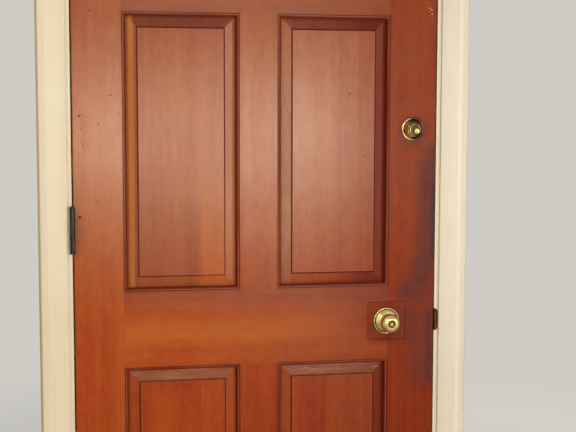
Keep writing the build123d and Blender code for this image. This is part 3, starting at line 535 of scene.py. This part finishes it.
def rail_marks(finish, colour):
    """The fine dark lines where a rail meets the stiles."""
    line = abs(abs(finish.x) - stile_edge).falling(0.25 * MM, 0.9 * MM) * 0.5
    return finish.mix(line, colour, JOINT), line


def frieze_marks(finish, colour):
    """A browner board than its neighbours."""
    cloudy = finish.noise(finish.coordinates, scale=7, detail=4, roughness=0.6).rising(0.3, 0.6)
    return rail_marks(finish, finish.mix(0.04 + cloudy * 0.14, colour, BROWNED))


def patched(finish, colour):
    """The dark joint round the square patch under the knob, grime about it,
    and a smudge with painted shadow below the knob.
    """
    grubby = finish.noise(finish.point(finish.x * 30, finish.y, finish.z * 20), detail=5, roughness=0.65)
    around = from_point(finish, (knob.x + 14 * MM, knob.z)).falling(30 * MM, 85 * MM)
    colour = finish.mix(grubby.rising(0.34, 0.60) * around * 0.5, colour, KNOB_GRIME)
    square = abs(finish.x - knob.x).most(abs(finish.z - knob.z)) - patch_half
    gap = finish.noise(finish.coordinates, scale=60, detail=4).rising(0.3, 0.6)
    joint = abs(square).falling(0.4 * MM, 1.3 * MM) * (finish.y - leaf_inside).falling(0.5 * MM, 2 * MM)
    joint = joint * (0.04 + gap * 0.26)
    # A smudge with painted shadow along the bottom of the patch, below the knob
    low = knob.z - patch_half
    smudge_and_shadow = from_segment(finish, (knob.x - 32 * MM, low), (knob.x + 6 * MM, low)).falling(1 * MM, 17 * MM)
    joint = joint.most(smudge_and_shadow * (0.25 + gap * 0.35))
    return finish.mix(joint, colour, PATCH_JOINT_AND_SHADOW), joint


def lock_rail_marks(finish, colour):
    """Darker along its upper edge and near the knob, with a warm band through its middle."""
    low, high = span_of("lock_rail", 2)
    middle = (low + high) / 2
    wander = finish.noise(finish.point(finish.x * 3, 0.0, 4.0), detail=3) * (24 * MM)
    upper = (finish.z + wander).rising(high - 60 * MM, high - 16 * MM)
    colour = finish.mix(upper * 0.36, colour, RAIL_EDGE_BROWN)
    warm = (finish.z + wander).band(middle, 12 * MM, 42 * MM) * finish.x.falling(0.0, 0.30)
    colour = finish.mix(warm * 0.34, colour, RAIL_MIDDLE_ORANGE)
    near_knob = finish.x.rising(0.12, 0.34) * (finish.z - middle).rising(-60 * MM, 30 * MM)
    colour = finish.mix(near_knob * 0.30, colour, NEAR_KNOB_BROWN)
    colour, line = rail_marks(finish, colour)
    colour, joint = patched(finish, colour)
    return colour, line.most(joint)


def lock_stile_marks(finish, colour):
    """Years of hands: a blue-black smear up the lock edge and down towards the knob, and paint flecks."""
    colour, joint = patched(finish, colour)
    patchy = finish.noise(finish.coordinates, scale=26, detail=5, roughness=0.65).rising(0.3, 0.6)
    streak = finish.noise(finish.point(finish.x * 40, finish.y, finish.z * 7), detail=4).rising(0.25, 0.65)
    smears = [
        from_segment(finish, *SMEAR_UP_EDGE).falling(28 * MM, 85 * MM) * 0.95,
        from_segment(finish, *SMEAR_TO_KNOB).falling(8 * MM, 60 * MM) * 0.9,
        from_segment(finish, *SMEAR_LOW_ON_EDGE).falling(3 * MM, 34 * MM) * 0.9,
        from_segment(finish, *SMEAR_BELOW_KNOB).falling(16 * MM, 58 * MM) * 0.5,
        # Darker round the deadbolt: hand grime, with painted shade below it
        from_point(finish, (deadbolt.x + 4 * MM, deadbolt.z - 10 * MM)).falling(20 * MM, 60 * MM) * 0.5,
    ]
    edge = from_segment(finish, *GRIMY_EDGE).falling(12 * MM, 34 * MM)
    edge = edge.most((leaf_right - finish.x).falling(0.5 * MM, 4 * MM) * 0.7)
    smear = (reduce(Value.most, smears) * (0.6 + 0.4 * patchy * streak)).most(edge)
    colour = finish.mix(smear * 0.88, colour, SMEAR)
    flecks = finish.speckle(finish.coordinates, 190).falling(0.16, 0.3)
    spray = from_segment(finish, *PAINT_SPRAY).falling(1 * MM, 6 * MM) * flecks
    return finish.mix(spray, colour, OLD_PAINT), joint.most(smear * 0.35)


dress(fir("hinge_stile", UPRIGHT, 3.1, ROWS, tone=0.02, marks=hinge_stile_marks, gloss=0.61), "hinge_stile")
dress(fir("lock_stile", UPRIGHT, 17.7, ROWS, tone=-0.05, marks=lock_stile_marks, gloss=0.23), "lock_stile")
dress(fir("top_rail", LEVEL, 5.3, ("top",), marks=rail_marks), "top_rail")
dress(fir("frieze_rail", LEVEL, 8.9, ("middle", "top"), tone=-0.03, marks=frieze_marks), "frieze_rail")
dress(fir("lock_rail", LEVEL, 12.4, ("bottom", "middle"), tone=0.05, marks=lock_rail_marks), "lock_rail")
dress(fir("bottom_rail", LEVEL, 21.6, ("bottom",), marks=rail_marks), "bottom_rail")
dress(fir("lock_patch", UPRIGHT, 31.2, tone=-0.06, marks=patched, gloss=0.25), "lock_patch")

panel_marks = {
    "bottom_left_panel": sheened_ledge,
    "bottom_right_panel": sheened_ledge,
    "middle_left_panel": left_panel_marks,
    "middle_right_panel": right_panel_marks,
}
panel_looks = {"left": {"tone": -0.01, "gloss": 0.44}, "right": {"tone": 0.005, "gloss": 0.66}}
for number, row in enumerate(ROWS):
    muntin_seed = 40.3 + number * 7.7
    dress(fir(f"{row}_muntin", UPRIGHT, muntin_seed, (row,), tone=-0.03, gloss=0.52), f"{row}_muntin")
    for side, (word, looks) in enumerate(panel_looks.items()):
        panel = f"{row}_{word}_panel"
        seed = 61.9 + number * 13.1 + side * 5.7
        dress(fir(panel, UPRIGHT, seed, (row,), marks=panel_marks.get(panel), panel=True, **looks), panel)


# Cream paint

PAINT = (
    (0.30, (0.690, 0.565, 0.420)),
    (0.52, (0.765, 0.640, 0.485)),
    (0.75, (0.810, 0.700, 0.550)),
)
BARE_PINE = (
    (0.35, (0.40, 0.235, 0.105)),
    (0.50, (0.58, 0.385, 0.195)),
    (0.65, (0.68, 0.490, 0.275)),
)
GRIME = (0.52, 0.41, 0.24)
DUST = (0.35, 0.27, 0.16)
BROWN_UNDERCOAT = (0.36, 0.20, 0.11)
TAN_OUTER_EDGE = (0.45, 0.30, 0.12)
CROWN_HIGHLIGHT = (0.80, 0.75, 0.64)

# What the paint is multiplied by: the cooler one is painted light, bluer on the lock side's casing
AS_MIXED = (1.0, 1.0, 1.0)
COOLER_LIGHT = (0.95, 0.98, 1.08)

reveal_x = span_of("inside_casing_lock_side", 0)[0]
casing_crown = 48 * MM
jamb_back = span_of("lock_jamb", 0)[1]
head_back = span_of("head_jamb", 2)[1]
inside_casing_back = span_of("inside_casing_hinge_side", 1)[1]
outside_casing_back = span_of("outside_casing_hinge_side", 1)[0]
hinge_casing_edge = span_of("inside_casing_hinge_side", 0)[0]
hinge_x = span_of("middle_hinge_jamb_leaf", 0)[0]
strike_x = span_of("latch_strike", 0)[1]
strike_low, strike_high = span_of("latch_strike", 2)


def cream(name, upright, seed, unpainted, marks=None, light_tint=AS_MIXED):
    """Brushed satin paint, a little yellowed and grimy in patches, with bare wood where unpainted is 1."""
    finish = Finish(f"cream_{name}")
    noise, point = finish.noise, finish.point
    along, across = (finish.z, finish.x) if upright else (finish.x, finish.z)
    brush = noise(point(across * 420 + seed, finish.y * 420, along * 6), detail=3, roughness=0.6)
    cloud = noise(finish.coordinates, scale=2.4, detail=4, roughness=0.6)
    grime = noise(point(across * 30, finish.y * 30, along * 5 + seed), detail=5, roughness=0.7)
    year_rings = noise(point(across * 60 + seed, finish.y * 60, along * 1.5), detail=4, roughness=0.6)

    colour = finish.ramp(brush * 0.35 + cloud * 0.65, *PAINT)
    colour = finish.mix(grime.rising(0.56, 0.8) * 0.25, colour, GRIME)
    colour = finish.mix(1.0, colour, light_tint, "MULTIPLY")
    if marks:
        colour = marks(finish, colour)
    bare = unpainted(finish)
    colour = finish.mix(bare, colour, finish.ramp(year_rings * 0.75 + brush * 0.25, *BARE_PINE))
    rough = 0.42 + brush * 0.12 + bare * 0.2
    if upright:
        # Painted highlight along the casing's crown, which is also less rough there
        crown_highlight = (finish.x - reveal_x).band(casing_crown, 3 * MM, 4 * MM)
        colour = finish.mix(crown_highlight * 0.55, colour, CROWN_HIGHLIGHT)
        rough = rough - crown_highlight * 0.16
    return finish.surface(
        Base_Color=colour,
        Roughness=rough,
        Normal=finish.bump(brush, 0.15 * MM, 0.45),
        Specular_IOR_Level=0.45,
    )


def side_back(finish):
    return abs(finish.x).rising(jamb_back - 0.5 * MM, jamb_back - 0.2 * MM)


def top_back(finish):
    return finish.z.rising(head_back - 0.5 * MM, head_back - 0.2 * MM)


def behind_inside(finish):
    return finish.y.rising(inside_casing_back - 0.5 * MM, inside_casing_back - 0.2 * MM)


def behind_outside(finish):
    return finish.y.falling(outside_casing_back + 0.2 * MM, outside_casing_back + 0.5 * MM)


def knocked(*places):
    """Dust in the joint beside the casing, and chips down to the undercoat in lengths (x, low, high)."""

    def marks(finish, colour):
        joint = abs(abs(finish.x) - reveal_x).falling(0.3 * MM, 1.4 * MM)
        colour = finish.mix(joint * 0.08, colour, DUST)
        chips = finish.noise(finish.coordinates, scale=240, detail=4, roughness=0.7).rising(0.53, 0.60)
        for x, low, high in places:
            near = from_segment(finish, (x, low), (x, high)).falling(1 * MM, 9 * MM)
            colour = finish.mix(near * chips * 0.55, colour, BROWN_UNDERCOAT)
        return colour

    return marks


hinge_knocks = knocked(*[(hinge_x - 6 * MM, level - 35 * MM, level + 25 * MM) for level in hinge_levels])
strike_knocks = knocked(
    (strike_x, strike_low - 4 * MM, strike_low + 2 * MM),
    (strike_x, strike_high, strike_high + 6 * MM),
)


def hinge_casing_marks(finish, colour):
    """The knocks beside the hinges, and a tan strip along the outer edge."""
    colour = hinge_knocks(finish, colour)
    wander = finish.noise(finish.point(0.0, 0.0, finish.z * 14), detail=3) * (2 * MM)
    tan_edge = (finish.x + wander - hinge_casing_edge).falling(6.5 * MM, 8.5 * MM)
    return finish.mix(tan_edge * 0.8, colour, TAN_OUTER_EDGE)


dress(cream("hinge_casing", UPRIGHT, 2.0, behind_inside, hinge_casing_marks), "inside_casing_hinge_side")
dress(cream("lock_casing", UPRIGHT, 9.0, behind_inside, strike_knocks, COOLER_LIGHT), "inside_casing_lock_side")
dress(cream("head_casing", LEVEL, 4.0, behind_inside), "inside_casing_head")
dress(cream("hinge_jamb", UPRIGHT, 6.0, side_back, hinge_knocks), "hinge_jamb")
dress(cream("lock_jamb", UPRIGHT, 11.0, side_back, strike_knocks), "lock_jamb", "lock_jamb_strike_length")
dress(cream("head_jamb", LEVEL, 13.0, top_back), "head_jamb")
outside_leg = cream("outside_leg", UPRIGHT, 15.0, behind_outside)
dress(outside_leg, "outside_casing_hinge_side", "outside_casing_lock_side")
dress(cream("outside_head", LEVEL, 19.0, behind_outside), "outside_casing_head")


# Oak sill, seals

OAK = (
    (0.3, (0.11, 0.060, 0.028)),
    (0.5, (0.25, 0.145, 0.070)),
    (0.7, (0.37, 0.235, 0.125)),
)
PALE_OAK = (0.44, 0.34, 0.23)


def oiled_oak():
    """Weathered oak with open pores, scuffed pale in places."""
    finish = Finish("oiled_oak")
    broad = finish.noise(finish.point(finish.x * 1.2, finish.y * 30, finish.z * 30), detail=4)
    pores = finish.noise(finish.point(finish.x * 22, finish.y * 900, finish.z * 900), detail=2, roughness=0.7)
    scuff = finish.noise(finish.coordinates, scale=14, detail=6, roughness=0.7).rising(0.5, 0.66)
    return finish.surface(
        Base_Color=finish.mix(scuff * 0.4, finish.ramp(broad * 0.7 + pores * 0.3, *OAK), PALE_OAK),
        Roughness=0.5 + pores * 0.15,
        Normal=finish.bump(pores, 0.2 * MM, 0.6),
    )


def rubber(name, colour, dusty):
    """Matt seal with dust on it."""
    finish = Finish(name)
    cells = finish.noise(finish.coordinates, scale=420, detail=2)
    dust = finish.noise(finish.coordinates, scale=18, detail=5, roughness=0.65).rising(0.45, 0.7)
    return finish.surface(
        Base_Color=finish.mix(dust * 0.4, colour, dusty),
        Roughness=0.7 + cells * 0.15,
        Normal=finish.bump(cells, 0.1 * MM, 0.4),
    )


dress(oiled_oak(), "sill")
dress(rubber("foam_seal", colour=(0.085, 0.058, 0.040), dusty=(0.22, 0.18, 0.13)), "weatherstrip")
dress(rubber("sweep_rubber", colour=(0.020, 0.018, 0.017), dusty=(0.12, 0.11, 0.09)), "door_sweep")


# Metals

BRASS = (
    (0.30, (0.48, 0.35, 0.12)),
    (0.50, (0.68, 0.52, 0.21)),
    (0.72, (0.82, 0.66, 0.32)),
)
AGED_BRASS = (
    (0.34, (0.190, 0.105, 0.040)),
    (0.50, (0.400, 0.250, 0.105)),
    (0.66, (0.620, 0.440, 0.200)),
)
GROOVE_DIRT = (0.035, 0.020, 0.009)
HOLLOW_TARNISH = (0.014, 0.009, 0.005)
FAR_SIDE_SHADE = (0.040, 0.018, 0.009)
RUBBED_BRONZE = (0.20, 0.12, 0.055)
PLATING = (
    (0.35, (0.33, 0.29, 0.20)),
    (0.65, (0.56, 0.51, 0.40)),
)

# Dirty grooves and tarnished hollows round an axis, as (radius, half width)
KNOB_GROOVES = ((6.6 * MM, 2.6 * MM), (29.8 * MM, 0.8 * MM))
BUTTON_GROOVES = ((0.0, 1.3 * MM), (5.4 * MM, 0.9 * MM))
COLLAR_HOLLOWS = ((24 * MM, 0.5 * MM), (15.8 * MM, 1.4 * MM))
CYLINDER_HOLLOWS = ((6.4 * MM, 5.2 * MM),)


def rings(away, widths, softness):
    """1 in the rings round an axis and 0 off them, from the distance to the axis."""
    return reduce(Value.most, [away.band(radius, half_width, softness) for radius, half_width in widths])


def polished_brass(name, grooves):
    """The knob set's lacquered yellow brass, dulled in its grooves, with fine turning marks."""
    finish = Finish(name)
    away = from_point(finish, (knob.x, knob.z))
    smear = finish.noise(finish.coordinates, scale=70, detail=5, roughness=0.6)
    turned = finish.noise(finish.point(away * 2600, finish.y * 900, 0.0), detail=1)
    groove = rings(away, grooves, 0.8 * MM)
    return finish.surface(
        Base_Color=finish.mix(groove * 0.94, finish.ramp(smear, *BRASS), GROOVE_DIRT),
        Metallic=0.94,
        Roughness=0.24 + smear * 0.14 + groove * 0.2,
        Normal=finish.bump(turned, 0.01 * MM, 0.4),
    )


def aged_brass(name, hollows=(), side_shade=0.0):
    """Old brass round the deadbolt: dark in its hollows, with painted shade on its right side."""
    finish = Finish(name)
    away = from_point(finish, (deadbolt.x, deadbolt.z))
    blotch = finish.noise(finish.coordinates, scale=70, detail=3, roughness=0.5)
    colour = finish.ramp(blotch, *AGED_BRASS)
    # Painted shade: darker towards the right and a little upwards, leaving the left bright
    far_side = (finish.x - deadbolt.x + (finish.z - deadbolt.z) * 0.3).rising(-16 * MM, 10 * MM)
    colour = finish.mix(far_side * side_shade, colour, FAR_SIDE_SHADE)
    rough = 0.22 + blotch * 0.16
    if hollows:
        hollow = rings(away, hollows, 1.2 * MM)
        colour = finish.mix(hollow * 0.95, colour, HOLLOW_TARNISH)
        rough = rough - hollow * 0.10
    return finish.surface(
        Base_Color=colour,
        Metallic=0.95,
        Roughness=rough,
        Normal=finish.bump(blotch, 0.03 * MM, 0.3),
    )


def dark_bronze(name, dark, light):
    """Dark bronze, rubbed through to warm metal here and there."""
    finish = Finish(name)
    blotch = finish.noise(finish.coordinates, scale=85, detail=6, roughness=0.65)
    rub = finish.noise(finish.point(finish.x * 160, finish.y * 160, finish.z * 26), detail=4)
    colour = finish.ramp(blotch, (0.35, dark), (0.65, light))
    return finish.surface(
        Base_Color=finish.mix(rub.rising(0.56, 0.74) * 0.35, colour, RUBBED_BRONZE),
        Metallic=0.85,
        Roughness=0.36 + blotch * 0.2,
        Normal=finish.bump(blotch, 0.05 * MM, 0.5),
    )


def plated_steel():
    """Dull steel with a blotchy yellow plating."""
    finish = Finish("plated_steel")
    blotch = finish.noise(finish.coordinates, scale=150, detail=5, roughness=0.6)
    return finish.surface(
        Base_Color=finish.ramp(blotch, *PLATING),
        Metallic=1.0,
        Roughness=0.32 + blotch * 0.15,
        Normal=finish.bump(blotch, 0.02 * MM, 0.4),
    )


knob_brass = polished_brass("knob_brass", KNOB_GROOVES)
button_brass = polished_brass("button_brass", BUTTON_GROOVES)
dress(knob_brass, "inside_knob", "outside_knob", "inside_rose", "outside_rose")
dress(button_brass, "lock_button", "knob_key_plug")

collar_brass = aged_brass("collar_brass", COLLAR_HOLLOWS, side_shade=0.9)
cylinder_brass = aged_brass("cylinder_brass", CYLINDER_HOLLOWS, side_shade=0.4)
rubbed_brass = aged_brass("rubbed_brass")
for word in ("inside", "outside"):
    dress(collar_brass, f"deadbolt_{word}_collar")
    dress(cylinder_brass, f"deadbolt_{word}_cylinder")
    dress(rubbed_brass, f"deadbolt_{word}_plug")
dress(rubbed_brass, "latch_bolt", "deadbolt")

hinge_bronze = dark_bronze("dark_bronze", dark=(0.014, 0.011, 0.010), light=(0.048, 0.036, 0.030))
strike_bronze = dark_bronze("brown_strike", dark=(0.030, 0.012, 0.008), light=(0.085, 0.040, 0.022))
for place in ("top", "middle", "bottom"):
    dress(hinge_bronze, f"{place}_hinge_door_leaf", f"{place}_hinge_jamb_leaf")
dress(hinge_bronze, "hinge_pins", "hinge_door_screws", "hinge_jamb_screws")
dress(strike_bronze, "latch_strike", "deadbolt_strike", "strike_screws")
steel = plated_steel()
dress(steel, "latch_case", "deadbolt_case", "knob_spindle", "lock_edge_screws", "lock_through_screws")


# Stage: a pale floor that fades into the pale surroundings

SURROUNDINGS = (0.62, 0.60, 0.56)
SKYLIGHT = (0.92, 0.95, 1.0)
PALE_FLOOR = (0.80, 0.79, 0.77)
CLOUDED_FLOOR = (0.77, 0.76, 0.74)

# How far from the door the floor starts to fade, and where it has faded
FADE_START = 0.9
FADE_END = 3.4


def seen_or_mirrored(tree):
    """1 where the surroundings are looked at, straight or in a gloss, and 0 where they light something."""
    path = tree.nodes.new("ShaderNodeLightPath")
    total = path.outputs["Is Camera Ray"]
    for name in ("Is Glossy Ray", "Is Transmission Ray"):
        either = tree.nodes.new("ShaderNodeMath")
        either.operation = "MAXIMUM"
        tree.links.new(total, either.inputs[0])
        tree.links.new(path.outputs[name], either.inputs[1])
        total = either.outputs["Value"]
    return total


def pale_floor():
    """Matt pale floor near the door, the colour of the surroundings far from it."""
    finish = Finish("stage_floor")
    cloud = finish.noise(finish.coordinates, scale=3, detail=3)
    colour = finish.mix(cloud * 0.3, PALE_FLOOR, CLOUDED_FLOOR)
    sockets = {"Base Color": colour, "Roughness": 0.9, "Specular IOR Level": 0.1}
    matt = finish.node("ShaderNodeBsdfPrincipled", sockets=sockets).outputs["BSDF"]
    far = finish.node("ShaderNodeEmission", sockets={"Color": SURROUNDINGS}).outputs["Emission"]
    away = ((finish.x ** 2 + finish.y ** 2) ** 0.5).rising(FADE_START, FADE_END)
    seen = Value(finish, seen_or_mirrored(finish.tree))
    mixed = finish.node("ShaderNodeMixShader", sockets={0: away * seen, 1: matt, 2: far}).outputs["Shader"]
    finish.node("ShaderNodeOutputMaterial", sockets={"Surface": mixed})
    return finish.material


def floor(radius):
    made = bmesh.new()
    bmesh.ops.create_circle(made, cap_ends=True, segments=96, radius=radius)
    mesh = bpy.data.meshes.new("floor")
    made.to_mesh(mesh)
    made.free()
    mesh.materials.append(pale_floor())
    sheet = bpy.data.objects.new("floor", mesh)
    bpy.context.scene.collection.objects.link(sheet)
    return sheet


floor(18.0)


# Light and camera

MIDDLE_OF_DOOR = (0.0, 0.0, 1.1)
WARM_WHITE = (1.0, 0.97, 0.92)


def softbox(name, place, size, power, target=MIDDLE_OF_DOOR, tint=WARM_WHITE):
    lamp = bpy.data.lights.new(name, "AREA")
    lamp.shape = "RECTANGLE"
    lamp.size, lamp.size_y = size
    lamp.energy = power
    lamp.color = tint
    holder = bpy.data.objects.new(name, lamp)
    holder.location = place
    holder.rotation_euler = (Vector(target) - Vector(place)).to_track_quat("-Z", "Y").to_euler()
    bpy.context.scene.collection.objects.link(holder)


# A long, narrow lamp before the door, whose gloss lies across the middle panels
softbox(
    "key_light",
    (0.28, -3.05, 1.262),
    size=(1.62, 0.20),
    power=51,
    target=(0.12, -0.06, 1.28),
    tint=(1.0, 0.98, 0.80),
)

# Fill from both sides and from above
softbox("left_light", (-2.5, -2.3, 1.2), size=(0.5, 1.4), power=9)
softbox("high_left_light", (-1.5, -1.7, 2.4), size=(0.5, 0.5), power=8, target=(0.2, 0.0, 1.1))
softbox("right_light", (2.4, -2.4, 1.4), size=(0.6, 1.6), power=24, tint=(1.0, 0.99, 0.96))

# Light for the outside
softbox("back_left_light", (2.2, 2.8, 2.0), size=(1.6, 1.8), power=60)
softbox("back_right_light", (-2.6, 2.4, 1.6), size=(1.2, 1.8), power=34, tint=(0.94, 0.97, 1.0))


def studio():
    """Pale surroundings that give only a dim, even light."""
    world = bpy.data.worlds.new("studio")
    world.use_nodes = True
    tree = world.node_tree
    tree.nodes.clear()
    shown = tree.nodes.new("ShaderNodeBackground")
    shown.inputs["Color"].default_value = (*SURROUNDINGS, 1)
    light = tree.nodes.new("ShaderNodeBackground")
    light.inputs["Color"].default_value = (*SKYLIGHT, 1)
    light.inputs["Strength"].default_value = 0.10
    either = tree.nodes.new("ShaderNodeMixShader")
    ended = tree.nodes.new("ShaderNodeOutputWorld")
    tree.links.new(seen_or_mirrored(tree), either.inputs[0])
    tree.links.new(light.outputs["Background"], either.inputs[1])
    tree.links.new(shown.outputs["Background"], either.inputs[2])
    tree.links.new(either.outputs["Shader"], ended.inputs["Surface"])
    return world


bpy.context.scene.world = studio()

# Where the camera stood and how it was turned, in degrees, worked out from the photo's straight lines
FOCAL_LENGTH = 70.72
BESIDE_HINGE_EDGE = 28.7 * MM
BEFORE_LEAF = 2792.9 * MM
ABOVE_KNOB = 527.2 * MM
LOOKING_DOWN = 5.09
TILTED = -0.108
TURNED = -10.198

lens = bpy.data.cameras.new("camera")
lens.lens = FOCAL_LENGTH
lens.sensor_width = 36.0
lens.clip_end = 60
camera = bpy.data.objects.new("camera", lens)
camera.location = (leaf_left + BESIDE_HINGE_EDGE, leaf_inside - BEFORE_LEAF, knob.z + ABOVE_KNOB)
camera.rotation_euler = [math.radians(turn) for turn in (90 - LOOKING_DOWN, TILTED, TURNED)]
bpy.context.scene.collection.objects.link(camera)
bpy.context.scene.camera = camera
bpy.context.scene.view_settings.view_transform = "Standard"
